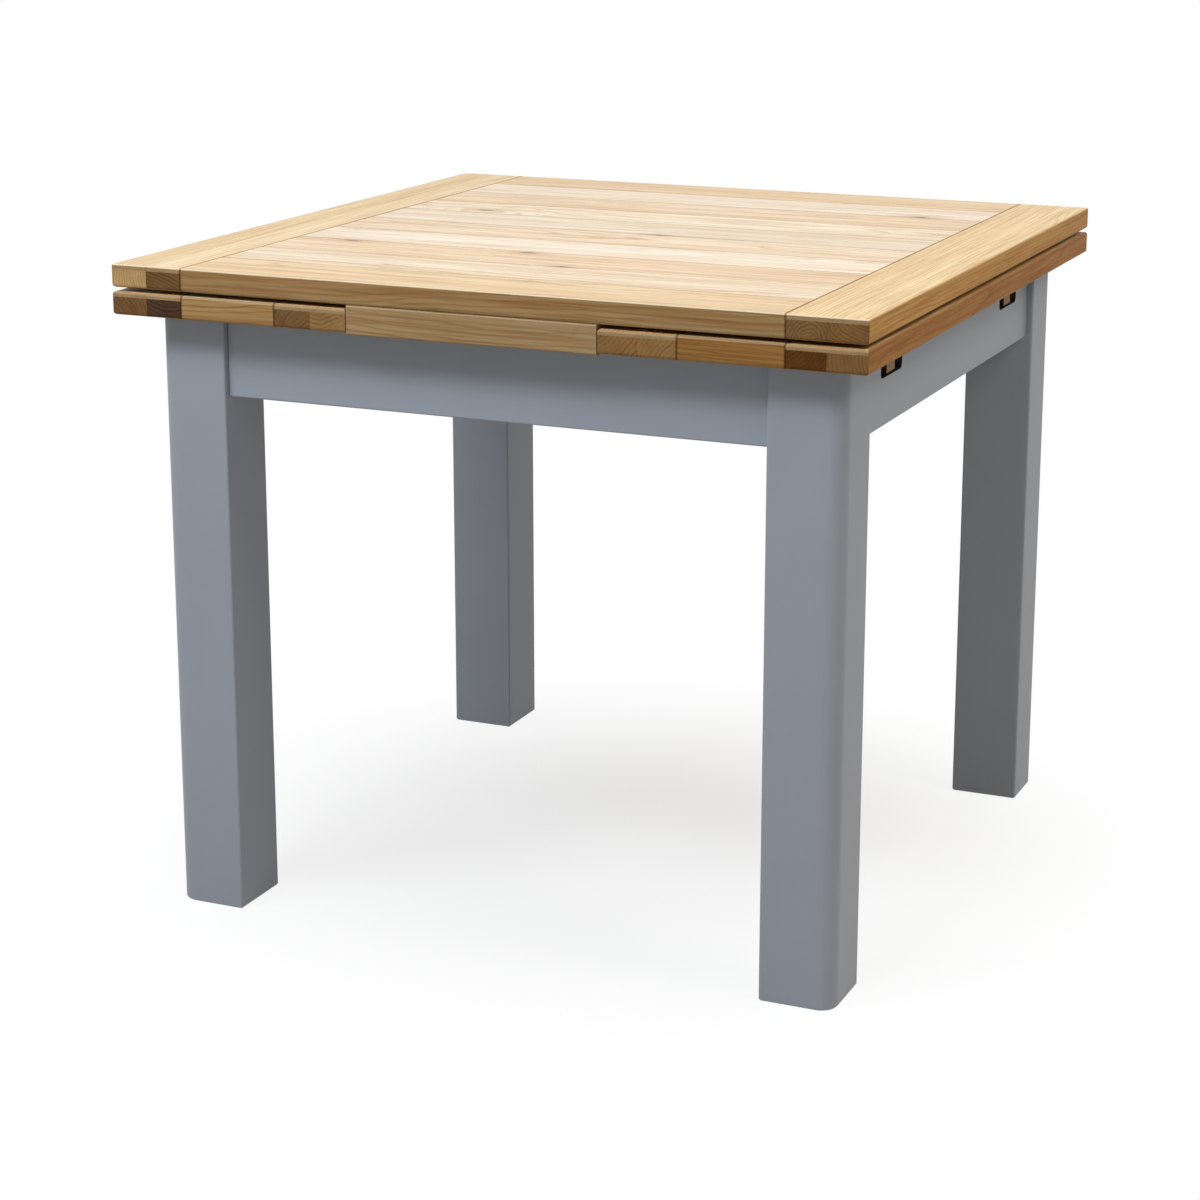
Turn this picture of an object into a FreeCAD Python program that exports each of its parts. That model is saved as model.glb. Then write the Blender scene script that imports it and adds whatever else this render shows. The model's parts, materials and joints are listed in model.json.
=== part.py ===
import FreeCAD, Part

import math
import os

# Draw-leaf table, in millimetres. The floor is z = 0, the front is -Y and the right leaf draws to +X

# Loose top
TOP_LENGTH = 900.0
TOP_WIDTH = 900.0
TABLE_HEIGHT = 775.0
TOP_THICK = 27.0
END_BOARD = 90.0
END_STRIPS = 2
PLANKS = 10
FACE_LAYER = 6.0
EDGE_EASE = 2.5
UNDER_EASE = 4.0
JOINT_V = 0.5
TONGUE_LENGTH = 10.0
TONGUE_THICK = 8.0
TONGUE_STOP = 30.0
TONGUE_CLEAR = 0.5

# Leaves and centre board
LEAF_LENGTH = 300.0
LEAF_THICK = 27.0
LEAF_GAP = 4.5
LEAF_EASE = 3.5
LEAF_CLEAR = 1.5
SEAM = 1.0

# Locating pegs under the top, drawn with flats
PEG_RADIUS = 11.0
PEG_SIDES = 16
PEG_CLEAR = 1.5
PEG_EMBED = 12.0
PEG_BELOW_CENTRE = 10.0
PEG_CHAMFER = 2.0
PEG_PLANK = 2

# Legs
LEG = 86.0
LEG_INSET = 36.0
LEG_ROUND = 20.0
LEG_EASE = 2.5
LEG_CHAMFER = 45.0
FOOT_EASE = 2.0

# Aprons
APRON_HEIGHT = 92.0
APRON_THICK = 22.0
APRON_SETBACK = 8.0
APRON_EASE = 1.5
TENON_LENGTH = 14.0
TENON_THICK = 10.0
TENON_SHOULDER = 14.0
TENON_CLEAR = 0.2

# Bearers, their notches, guides and stops
BEARER_WIDTH = 28.0
BEARER_DEPTH = 38.0
BEARER_Y = 234.0
BEARER_CLEAR = 1.5
BEARER_END_INSET = 1.0
BEARER_TAIL_GAP = 50.0
TAIL_BEVEL = 12.0
NOSE_BEVEL = 1.5
STEP_INSET = 12.0
TAIL_DROP = 3.0
NOTCH_SIDE = 23.5
NOTCH_ROUND = 6.0
GUIDE_WIDTH = 20.0
GUIDE_DEPTH = 36.0
GUIDE_CLEAR = 1.0
GUIDE_END_GAP = 10.0
STOP_LENGTH = 40.0
STOP_DEPTH = 18.0
STOP_CLEAR = 0.5

# Centre board cleats
CLEAT_LENGTH = 280.0
CLEAT_SIDE = 24.0

# Corner blocks
BLOCK_HEIGHT = 60.0
BLOCK_THICK = 24.0
BLOCK_LEG_GAP = 1.5
BLOCK_TOP_DROP = 20.0

# Fasteners, whose round stretches and bores are drawn with a few flats
FASTENER_SIDES = 6
WASHER_SIDES = 8
BOLT_RADIUS = 4.0
BOLT_IN_LEG = 50.0
BOLT_PROUD = 6.0
BOLT_PITCH = 30.0
WASHER_RADIUS = 9.0
WASHER_THICK = 1.6
NUT_SIDES = 6
NUT_FLATS = 13.0
NUT_THICK = 6.5
SCREW_RADIUS = 2.2
SCREW_HEAD_RADIUS = 4.5
SCREW_HEAD_HEIGHT = 2.8
SCREW_TIP = 4.0
SCREW_POINT_RADIUS = 0.6
SCREW_BITE = 14.0
HOLE_CLEAR = 0.3
HEAD_CLEAR = 1.5
COUNTERBORE = 21.0
RAIL_SCREWS = 3

# Heights worked out from the sizes above
top_under = TABLE_HEIGHT - TOP_THICK
leaf_top = top_under - LEAF_GAP
leaf_under = leaf_top - LEAF_THICK
frame_top = leaf_under - LEAF_CLEAR
apron_under = frame_top - APRON_HEIGHT
bearer_under = leaf_under - BEARER_DEPTH
notch_floor = bearer_under - BEARER_CLEAR
tail_top = leaf_under - TAIL_DROP

# Places in plan worked out from the sizes above
half_length = TOP_LENGTH / 2
half_width = TOP_WIDTH / 2
leaf_travel = LEAF_LENGTH
centre_half = half_length - LEAF_LENGTH - SEAM / 2
leaf_inner = half_length - LEAF_LENGTH + SEAM / 2
leg_out_x = half_length - LEG_INSET
leg_out_y = half_width - LEG_INSET
apron_out_x = leg_out_x - APRON_SETBACK
apron_out_y = leg_out_y - APRON_SETBACK
apron_in_x = apron_out_x - APRON_THICK
apron_in_y = apron_out_y - APRON_THICK
bearer_pitch = BEARER_WIDTH + GUIDE_WIDTH + 2 * GUIDE_CLEAR
bearer_y = {1: BEARER_Y, -1: BEARER_Y - bearer_pitch}
guide_y = BEARER_Y - bearer_pitch / 2
plank_width = TOP_WIDTH / PLANKS
strip_width = END_BOARD / END_STRIPS
peg_y = half_width - (PEG_PLANK - 0.5) * plank_width
head_bore = SCREW_HEAD_RADIUS + HEAD_CLEAR

UP = FreeCAD.Vector(0, 0, 1)
CORNERS = {"front_left": (-1, -1), "front_right": (1, -1), "rear_left": (-1, 1), "rear_right": (1, 1)}
SIDES = {"left": -1, "right": 1}


def vec(x, y, z):
    return FreeCAD.Vector(x, y, z)


def box(x0, x1, y0, y1, z0, z1):
    """A box between two values on each axis, given in either order."""
    low = vec(min(x0, x1), min(y0, y1), min(z0, z1))
    return Part.makeBox(abs(x1 - x0), abs(y1 - y0), abs(z1 - z0), low)


def prism(points, start, along):
    """A straight prism of the polygon of points, moved to start and swept along a vector."""
    corners = [p.add(start) for p in points]
    return Part.Face(Part.makePolygon(corners + corners[:1])).extrude(along)


def save(name, *solids):
    shape = solids[0] if len(solids) == 1 else Part.makeCompound(list(solids))
    shape.exportStep(os.path.join("parts", name + ".step"))


def is_upright(edge):
    return edge.BoundBox.ZLength > edge.BoundBox.DiagonalLength / 2


def ring_of(radius, sides, z):
    """The corners of a regular polygon across Z."""
    turns = [2 * math.pi * i / sides for i in range(sides)]
    return [vec(radius * math.cos(t), radius * math.sin(t), z) for t in turns]


def bar(radius, length, point, direction, sides=FASTENER_SIDES):
    """A straight bar with flats, from a point along a direction."""
    return placed(prism(ring_of(radius, sides, 0), vec(0, 0, 0), vec(0, 0, length)), point, direction)


def screw(head_seat, direction, length):
    """A pan-head wood screw. head_seat is where the head's underside meets the axis."""
    head = prism(ring_of(SCREW_HEAD_RADIUS, FASTENER_SIDES, 0), vec(0, 0, 0), vec(0, 0, -SCREW_HEAD_HEIGHT))
    rings = [Part.makePolygon(r + r[:1]) for r in (
        ring_of(SCREW_RADIUS, FASTENER_SIDES, 0),
        ring_of(SCREW_RADIUS, FASTENER_SIDES, length - SCREW_TIP),
        ring_of(SCREW_POINT_RADIUS, FASTENER_SIDES, length),
    )]
    return placed(head.fuse(Part.makeLoft(rings, True, True)), head_seat, direction)


def screw_hole(head_seat, direction, length):
    """The bore that a screw of this length goes into, with room round the shank and past the tip."""
    return bar(SCREW_RADIUS + HOLE_CLEAR, length + HOLE_CLEAR, head_seat, direction)


def placed(solid, point, direction):
    """Turns a solid made along +Z to a direction and moves it to a point."""
    solid.Placement = FreeCAD.Placement(point, FreeCAD.Rotation(UP, direction))
    return solid


def spread(low, high, count):
    """count places, evenly spaced, the first and last half a step in from the ends."""
    step = (high - low) / count
    return [low + (i + 0.5) * step for i in range(count)]


def v_groove_along_x(x0, x1, y, z):
    points = [vec(0, -JOINT_V, 0), vec(0, JOINT_V, 0), vec(0, 0, -JOINT_V)]
    return prism(points, vec(x0, y, z), vec(x1 - x0, 0, 0))


def v_groove_along_y(x, y0, y1, z):
    points = [vec(-JOINT_V, 0, 0), vec(JOINT_V, 0, 0), vec(0, 0, -JOINT_V)]
    return prism(points, vec(x, y0, z), vec(0, y1 - y0, 0))


def plank_edges():
    """The y values where the planks meet, with both outer edges."""
    return [-half_width + i * plank_width for i in range(PLANKS + 1)]


def boarded_panel(x0, x1, z0, z1, upper_ease):
    """A panel of planks along X between two end boards, with its upper and lower edges rounded.

    Returns the end board strips from x0 to x1, each as a core and the layer glued on top of it, and the
    planks from front to rear."""
    slab = box(x0, x1, -half_width, half_width, z0, z1)
    slab = slab.makeFillet(upper_ease, [e for e in slab.Edges if e.BoundBox.ZMin > z1 - upper_ease])
    slab = slab.makeFillet(UNDER_EASE, [e for e in slab.Edges if e.BoundBox.ZMax < z0 + UNDER_EASE])
    plank_x0 = x0 + END_BOARD
    plank_x1 = x1 - END_BOARD
    joints = plank_edges()
    grooves = [v_groove_along_x(plank_x0, plank_x1, y, z1) for y in joints[1:-1]]
    grooves += [v_groove_along_y(x, -half_width, half_width, z1) for x in (plank_x0, plank_x1)]
    slab = slab.cut(Part.makeCompound(grooves))

    middle = (z0 + z1) / 2
    tongue_z = (middle - TONGUE_THICK / 2, middle + TONGUE_THICK / 2)
    band_y = (-half_width + TONGUE_STOP, half_width - TONGUE_STOP)
    slot_length = TONGUE_LENGTH + TONGUE_CLEAR
    slots = [
        box(plank_x0 - slot_length, plank_x0, *band_y, *tongue_z),
        box(plank_x1, plank_x1 + slot_length, *band_y, *tongue_z),
    ]

    strips = []
    for start in (x0, plank_x1):
        for i in range(END_STRIPS):
            left = start + i * strip_width
            span = (left, left + strip_width, -half_width, half_width)
            core = slab.common(box(*span, z0, z1 - FACE_LAYER)).cut(Part.makeCompound(slots))
            face = slab.common(box(*span, z1 - FACE_LAYER, z1))
            strips.append([core.Solids[0], face.Solids[0]])

    planks = []
    for y0, y1 in zip(joints[:-1], joints[1:]):
        plank = slab.common(box(plank_x0, plank_x1, y0, y1, z0, z1))
        tongue_y = (max(y0, band_y[0]), min(y1, band_y[1]))
        tongue = box(plank_x0 - TONGUE_LENGTH, plank_x1 + TONGUE_LENGTH, *tongue_y, *tongue_z)
        planks.append(plank.fuse(tongue).removeSplitter().Solids[0])
    return strips, planks


def peg_places():
    return [vec(0, side * peg_y, 0) for side in (-1, 1)]


def make_top():
    """The loose top, its boards and the two pegs that locate it in the centre board."""
    strips, planks = boarded_panel(-half_length, half_length, top_under, TABLE_HEIGHT, EDGE_EASE)
    names = ["left_outer", "left_inner", "right_inner", "right_outer"]
    for name, strip in zip(names, strips):
        save("top_end_" + name, *strip)
    length = PEG_EMBED + top_under - frame_top + PEG_BELOW_CENTRE
    base = vec(0, 0, frame_top - PEG_BELOW_CENTRE)
    pegs = []
    for place in peg_places():
        peg = bar(PEG_RADIUS, length, place.add(base), UP, PEG_SIDES)
        low_edge = [e for e in peg.Edges if e.BoundBox.ZMax < base.z + PEG_CHAMFER / 2]
        pegs.append(peg.makeChamfer(PEG_CHAMFER, low_edge))
    sockets = [
        bar(PEG_RADIUS + HOLE_CLEAR, PEG_EMBED, place.add(vec(0, 0, top_under)), UP, PEG_SIDES)
        for place in peg_places()
    ]
    for i, plank in enumerate(planks):
        save("top_plank_%02d" % (i + 1), plank.cut(Part.makeCompound(sockets)).Solids[0])
    save("locating_pegs", *pegs)


def bearer_profile(outer_x, tail_x, step_x):
    """The bearer seen from the front: level under its leaf, then stepped down to pass the centre board."""
    return [
        vec(outer_x, 0, leaf_under),
        vec(step_x, 0, leaf_under),
        vec(step_x, 0, tail_top),
        vec(tail_x, 0, tail_top),
        vec(tail_x, 0, bearer_under + TAIL_BEVEL),
        vec(tail_x + TAIL_BEVEL, 0, bearer_under),
        vec(outer_x - NOSE_BEVEL, 0, bearer_under),
        vec(outer_x, 0, bearer_under + NOSE_BEVEL),
    ]


def make_leaf(side_name, side):
    """One leaf with its bearers, stops and screws, built on the right and mirrored for the left."""
    strips, planks = boarded_panel(leaf_inner, half_length, leaf_under, leaf_top, LEAF_EASE)
    outer_x = apron_out_x - BEARER_END_INSET
    tail_x = BEARER_TAIL_GAP - apron_in_x
    stop_x = apron_in_x - leaf_travel - STOP_CLEAR
    length = BEARER_DEPTH - COUNTERBORE + SCREW_BITE
    step_x = leaf_inner + STEP_INSET
    screw_x = [
        leaf_inner + END_BOARD - strip_width / 2,
        (leaf_inner + half_length) / 2,
        half_length - END_BOARD + strip_width / 2,
    ]
    bearers, stops, screws, holes = [], [], [], []
    for y_side in (-1, 1):
        y = y_side * bearer_y[side]
        outline = bearer_profile(outer_x, tail_x, step_x)
        bearer = prism(outline, vec(0, y - BEARER_WIDTH / 2, 0), vec(0, BEARER_WIDTH, 0))
        for x in screw_x:
            seat = vec(x, y, bearer_under + COUNTERBORE)
            screws.append(screw(seat, UP, length))
            holes.append(screw_hole(seat, UP, length))
            bearer = bearer.cut(bar(head_bore, COUNTERBORE, vec(x, y, bearer_under), UP))
        bearers.append(bearer.cut(Part.makeCompound(holes)).Solids[0])
        stops.append(box(stop_x - STOP_LENGTH, stop_x, y - BEARER_WIDTH / 2, y + BEARER_WIDTH / 2,
                         bearer_under - STOP_DEPTH, bearer_under))
    bores = Part.makeCompound(holes)
    strips = [[layer.cut(bores).Solids[0] for layer in strip] for strip in strips]
    planks = [p.cut(bores).Solids[0] for p in planks]

    def turned(solids):
        if side > 0:
            return solids
        return [s.mirror(vec(0, 0, 0), vec(1, 0, 0)) for s in solids]

    names = ["inner_strip_1", "inner_strip_2", "outer_strip_1", "outer_strip_2"]
    for name, strip in zip(names, strips):
        save("%s_leaf_%s" % (side_name, name), *turned(strip))
    save(side_name + "_leaf_planks", *turned(planks))
    for name, bearer in zip(("front", "rear"), turned(bearers)):
        save("%s_leaf_bearer_%s" % (side_name, name), bearer)
    save(side_name + "_leaf_stops", *turned(stops))
    save(side_name + "_leaf_screws", *turned(screws))


def guide_screw_seats():
    """Where the guide screws' heads sit, on the undersides of the guides."""
    half = centre_half - GUIDE_END_GAP
    seats = []
    for y_side in (-1, 1):
        seats += [vec(x, y_side * guide_y, frame_top - GUIDE_DEPTH) for x in spread(-half, half, RAIL_SCREWS)]
    return seats


def cleat_screw_seats(y_side):
    """Where one cleat's screw heads sit: those going up, and those going into the apron between them."""
    half = CLEAT_LENGTH / 2
    y = y_side * (apron_in_y - CLEAT_SIDE / 2)
    up = [vec(x, y, frame_top - CLEAT_SIDE) for x in spread(-half, half, RAIL_SCREWS)]
    face = y_side * (apron_in_y - CLEAT_SIDE)
    across = [vec(x, face, frame_top - CLEAT_SIDE / 2) for x in spread(-half, half, RAIL_SCREWS - 1)]
    return up, across


def make_centre():
    """The fixed centre board, the cleats that hold it and the guides for the bearers."""
    board = box(-centre_half, centre_half, -half_width, half_width, frame_top, top_under)
    long_edges = [e for e in board.Edges if e.BoundBox.XLength > centre_half]
    board = board.makeFillet(EDGE_EASE, long_edges)
    cuts = []
    for place in peg_places():
        bore_base = place.add(vec(0, 0, frame_top))
        cuts.append(bar(PEG_RADIUS + PEG_CLEAR, top_under - frame_top, bore_base, UP, PEG_SIDES))

    guide_length = GUIDE_DEPTH + SCREW_BITE
    guide_bores = [screw_hole(seat, UP, guide_length) for seat in guide_screw_seats()]
    guide_half = centre_half - GUIDE_END_GAP
    for name, y_side in (("front", -1), ("rear", 1)):
        y = y_side * guide_y
        guide = box(-guide_half, guide_half, y - GUIDE_WIDTH / 2, y + GUIDE_WIDTH / 2,
                    frame_top - GUIDE_DEPTH, frame_top)
        save("bearer_guide_" + name, guide.cut(Part.makeCompound(guide_bores)).Solids[0])
    save("guide_screws", *[screw(seat, UP, guide_length) for seat in guide_screw_seats()])

    length = CLEAT_SIDE + SCREW_BITE
    screws = []
    cleat_bores = []
    for name, y_side in (("front", -1), ("rear", 1)):
        outward = vec(0, y_side, 0)
        up, across = cleat_screw_seats(y_side)
        screws += [screw(seat, UP, length) for seat in up]
        screws += [screw(seat, outward, length) for seat in across]
        bores = [screw_hole(seat, UP, length) for seat in up]
        bores += [screw_hole(seat, outward, length) for seat in across]
        cleat = box(-CLEAT_LENGTH / 2, CLEAT_LENGTH / 2,
                    y_side * (apron_in_y - CLEAT_SIDE), y_side * apron_in_y,
                    frame_top - CLEAT_SIDE, frame_top)
        save("centre_cleat_" + name, cleat.cut(Part.makeCompound(bores)).Solids[0])
        cleat_bores += bores
    save("cleat_screws", *screws)
    board = board.cut(Part.makeCompound(cuts + guide_bores + cleat_bores))
    save("centre_board", board.Solids[0])
    return cleat_bores


def block_corner(sx, sy):
    """The inside corner where the faces of two aprons would meet."""
    return vec(sx * apron_in_x, sy * apron_in_y, 0)


def inward(sx, sy):
    return vec(-sx, -sy, 0).normalize()


# Distance from the aprons' inside corner, along the diagonal, to the leg's chamfered flat
leg_in_reach = LEG - APRON_SETBACK - APRON_THICK
flat_reach = (2 * leg_in_reach - LEG_CHAMFER) / math.sqrt(2)
block_outer = (flat_reach + BLOCK_LEG_GAP) * math.sqrt(2)
block_inner = block_outer + BLOCK_THICK * math.sqrt(2)
block_top = frame_top - BLOCK_TOP_DROP
block_under = block_top - BLOCK_HEIGHT
block_middle = block_top - BLOCK_HEIGHT / 2


def bolt_axes(sx, sy):
    """Points where a corner's two hanger bolts leave the block's inner face."""
    corner = block_corner(sx, sy)
    reach = inward(sx, sy).multiply(block_inner / math.sqrt(2))
    return [corner.add(reach).add(vec(0, 0, block_middle + s * BOLT_PITCH / 2)) for s in (-1, 1)]


def block_screw_seats(sx, sy):
    """Where a corner block's screw heads sit, and the way each screw points: one into each apron."""
    place = (block_outer + block_inner) / 2
    depth = (block_inner - place) / 2
    corner = block_corner(sx, sy).add(vec(0, 0, block_middle))
    return [
        (corner.add(vec(-sx * depth, -sy * place, 0)), vec(sx, 0, 0)),
        (corner.add(vec(-sx * place, -sy * depth, 0)), vec(0, sy, 0)),
    ]


def block_screw_length():
    return (block_inner - block_outer) / 4 + SCREW_BITE


def make_corners():
    """The corner blocks with their fasteners. Returns the bores for the legs and for the aprons."""
    bolts, washers, nuts, screws = [], [], [], []
    leg_bores, apron_bores = [], []
    hexagon_reach = NUT_FLATS / 2 / math.cos(math.pi / NUT_SIDES)
    for name, (sx, sy) in CORNERS.items():
        corner = block_corner(sx, sy)
        points = [
            vec(0, -sy * block_outer, 0),
            vec(0, -sy * block_inner, 0),
            vec(-sx * block_inner, 0, 0),
            vec(-sx * block_outer, 0, 0),
        ]
        block = prism(points, corner.add(vec(0, 0, block_under)), vec(0, 0, BLOCK_HEIGHT))
        outward = inward(sx, sy).negative()
        through = block_inner / math.sqrt(2) - flat_reach + BOLT_IN_LEG
        proud = WASHER_THICK + NUT_THICK + BOLT_PROUD
        cuts = []
        for face in bolt_axes(sx, sy):
            tail = face.add(inward(sx, sy).multiply(proud))
            bolts.append(bar(BOLT_RADIUS, proud + through, tail, outward))
            bore = bar(BOLT_RADIUS + HOLE_CLEAR, through + HOLE_CLEAR, face, outward)
            cuts.append(bore)
            leg_bores.append(bore)
            bore_through = bar(BOLT_RADIUS + HOLE_CLEAR, proud, tail, outward)
            washer_at = face.add(inward(sx, sy).multiply(WASHER_THICK))
            washer = bar(WASHER_RADIUS, WASHER_THICK, washer_at, outward, WASHER_SIDES)
            washers.append(washer.cut(bore_through))
            nut_at = face.add(inward(sx, sy).multiply(WASHER_THICK + NUT_THICK))
            nuts.append(bar(hexagon_reach, NUT_THICK, nut_at, outward, NUT_SIDES).cut(bore_through))
        for seat, direction in block_screw_seats(sx, sy):
            screws.append(screw(seat, direction, block_screw_length()))
            bore = screw_hole(seat, direction, block_screw_length())
            apron_bores.append(bore)
            cuts.append(bore)
            cuts.append(bar(head_bore, block_inner, seat, direction.negative()))
        save("corner_block_" + name, block.cut(Part.makeCompound(cuts)).Solids[0])
    save("hanger_bolts", *bolts)
    save("bolt_washers", *washers)
    save("bolt_nuts", *nuts)
    save("corner_block_screws", *screws)
    return leg_bores, apron_bores


def notch_cutter(x0, x1, y):
    """A notch open at the top of an apron, with its two lower corners rounded."""
    half = BEARER_WIDTH / 2 + NOTCH_SIDE
    cutter = box(x0, x1, y - half, y + half, notch_floor, frame_top + NOTCH_ROUND)
    lower = [e for e in cutter.Edges
             if e.BoundBox.XLength > abs(x1 - x0) / 2 and e.BoundBox.ZMax < notch_floor + NOTCH_ROUND / 2]
    return cutter.makeFillet(NOTCH_ROUND, lower)


def tenon_z(grow):
    return apron_under + TENON_SHOULDER - grow, frame_top - TENON_SHOULDER + grow


def make_aprons(bores):
    """Four aprons with stub tenons. The side ones are notched for the bearers of their own leaf."""
    bores = Part.makeCompound(bores)
    tenon_inset = (APRON_THICK - TENON_THICK) / 2
    for name, sy in (("front", -1), ("rear", 1)):
        end = leg_out_x - LEG
        rail = box(-end, end, sy * apron_in_y, sy * apron_out_y, apron_under, frame_top)
        rail = rail.makeChamfer(APRON_EASE, rail.Edges)
        tenon = box(-end - TENON_LENGTH, end + TENON_LENGTH, sy * (apron_in_y + tenon_inset),
                    sy * (apron_out_y - tenon_inset), *tenon_z(0))
        save("apron_" + name, rail.fuse(tenon).cut(bores).Solids[0])
    for name, sx in SIDES.items():
        end = leg_out_y - LEG
        rail = box(sx * apron_in_x, sx * apron_out_x, -end, end, apron_under, frame_top)
        rail = rail.makeChamfer(APRON_EASE, rail.Edges)
        tenon = box(sx * (apron_in_x + tenon_inset), sx * (apron_out_x - tenon_inset),
                    -end - TENON_LENGTH, end + TENON_LENGTH, *tenon_z(0))
        rail = rail.fuse(tenon)
        for y_side in (-1, 1):
            reach = (sx * (apron_in_x - APRON_THICK), sx * (apron_out_x + APRON_THICK))
            rail = rail.cut(notch_cutter(*reach, y_side * bearer_y[sx]))
        save("apron_" + name, rail.cut(bores).Solids[0])


def near_outer_corner(edge):
    """Whether an upright edge of a post made at the origin is the one at the table's outer corner."""
    return edge.CenterOfMass.x + edge.CenterOfMass.y < LEG / 2


def make_legs(bores):
    """Four posts: a large radius on the outermost corner, mortises, and a flat across the inner corner."""
    bores = Part.makeCompound(bores)
    tenon_inset = APRON_SETBACK + (APRON_THICK - TENON_THICK) / 2
    reach = TENON_LENGTH + TENON_CLEAR
    for name, (sx, sy) in CORNERS.items():
        post = box(0, LEG, 0, LEG, 0, frame_top)
        inner = [e for e in post.Edges if is_upright(e) and not near_outer_corner(e)]
        post = post.makeFillet(LEG_EASE, inner)
        outer = [e for e in post.Edges if is_upright(e) and near_outer_corner(e)]
        post = post.makeFillet(LEG_ROUND, outer)
        foot = [e for e in post.Edges if e.BoundBox.ZMax < FOOT_EASE]
        post = post.makeChamfer(FOOT_EASE, foot)
        flat = prism([vec(LEG, LEG, 0), vec(LEG - LEG_CHAMFER, LEG, 0), vec(LEG, LEG - LEG_CHAMFER, 0)],
                     vec(0, 0, apron_under), vec(0, 0, APRON_HEIGHT))
        low, high = tenon_z(TENON_CLEAR)
        slot = (tenon_inset - TENON_CLEAR, tenon_inset + TENON_THICK + TENON_CLEAR)
        mortises = [box(LEG - reach, LEG, *slot, low, high), box(*slot, LEG - reach, LEG, low, high)]
        post = post.cut(Part.makeCompound([flat] + mortises))
        if sx > 0:
            post = post.mirror(vec(0, 0, 0), vec(1, 0, 0))
        if sy > 0:
            post = post.mirror(vec(0, 0, 0), vec(0, 1, 0))
        post = post.translated(vec(sx * leg_out_x, sy * leg_out_y, 0))
        save("leg_" + name, post.cut(bores).Solids[0])


def main():
    os.makedirs("parts", exist_ok=True)
    make_top()
    for side_name, side in SIDES.items():
        make_leaf(side_name, side)
    cleat_bores = make_centre()
    leg_bores, apron_bores = make_corners()
    make_aprons(apron_bores + cleat_bores)
    make_legs(leg_bores)


main()
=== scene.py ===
import json
import math
from collections import namedtuple
from functools import partial

import bpy
import numpy as np
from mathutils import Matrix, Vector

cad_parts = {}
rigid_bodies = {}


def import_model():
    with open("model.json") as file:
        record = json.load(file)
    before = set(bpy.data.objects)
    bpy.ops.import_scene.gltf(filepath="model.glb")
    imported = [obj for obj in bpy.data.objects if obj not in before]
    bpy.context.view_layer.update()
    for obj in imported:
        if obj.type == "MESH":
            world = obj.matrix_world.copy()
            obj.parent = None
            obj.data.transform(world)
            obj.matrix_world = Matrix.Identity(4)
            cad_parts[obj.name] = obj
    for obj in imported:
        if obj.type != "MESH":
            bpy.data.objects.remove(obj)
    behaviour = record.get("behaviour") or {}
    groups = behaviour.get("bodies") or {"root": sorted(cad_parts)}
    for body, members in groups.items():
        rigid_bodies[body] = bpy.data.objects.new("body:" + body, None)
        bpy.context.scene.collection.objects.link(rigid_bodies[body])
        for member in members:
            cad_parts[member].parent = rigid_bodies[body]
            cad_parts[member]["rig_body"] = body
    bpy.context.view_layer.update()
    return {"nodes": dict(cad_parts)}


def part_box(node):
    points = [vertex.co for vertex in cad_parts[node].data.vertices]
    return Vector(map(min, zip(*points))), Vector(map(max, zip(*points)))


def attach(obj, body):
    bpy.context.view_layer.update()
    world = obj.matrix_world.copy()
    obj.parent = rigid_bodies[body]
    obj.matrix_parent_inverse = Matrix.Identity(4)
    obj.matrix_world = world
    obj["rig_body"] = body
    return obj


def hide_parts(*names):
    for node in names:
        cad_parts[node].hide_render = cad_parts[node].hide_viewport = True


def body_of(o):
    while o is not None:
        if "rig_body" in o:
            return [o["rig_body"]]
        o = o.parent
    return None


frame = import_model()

nodes = frame["nodes"]

# Camera, fitted to the photograph's edges and corners, in metres and degrees
CAMERA_PLACE = (1.3009, -3.0682, 1.264)
CAMERA_YAW = 23.658
CAMERA_PITCH = 13.857

# Its focal length and vertical shift in pixels of the photograph, and its sensor in millimetres
PHOTO_WIDTH = 1200
FOCAL_LENGTH = 2761.9
CAMERA_SHIFT = -100.0
SENSOR_WIDTH = 36.0

# Boards, in metres
HALF_TOP = 0.45
PLANK = 0.09
PLANK_COUNT = 10
STRIP = 0.045
FACE_LAYER = 0.006
BEARER_BOARD = 0.05
BLOCK_BOARD = 0.3


def srgb(r, g, b):
    """A colour given as 8-bit screen values, as linear light, by the formula of the sRGB standard."""
    def linear(c):
        c /= 255.0
        return c / 12.92 if c <= 0.04045 else ((c + 0.055) / 1.055) ** 2.4
    return (linear(r), linear(g), linear(b), 1.0)


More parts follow.
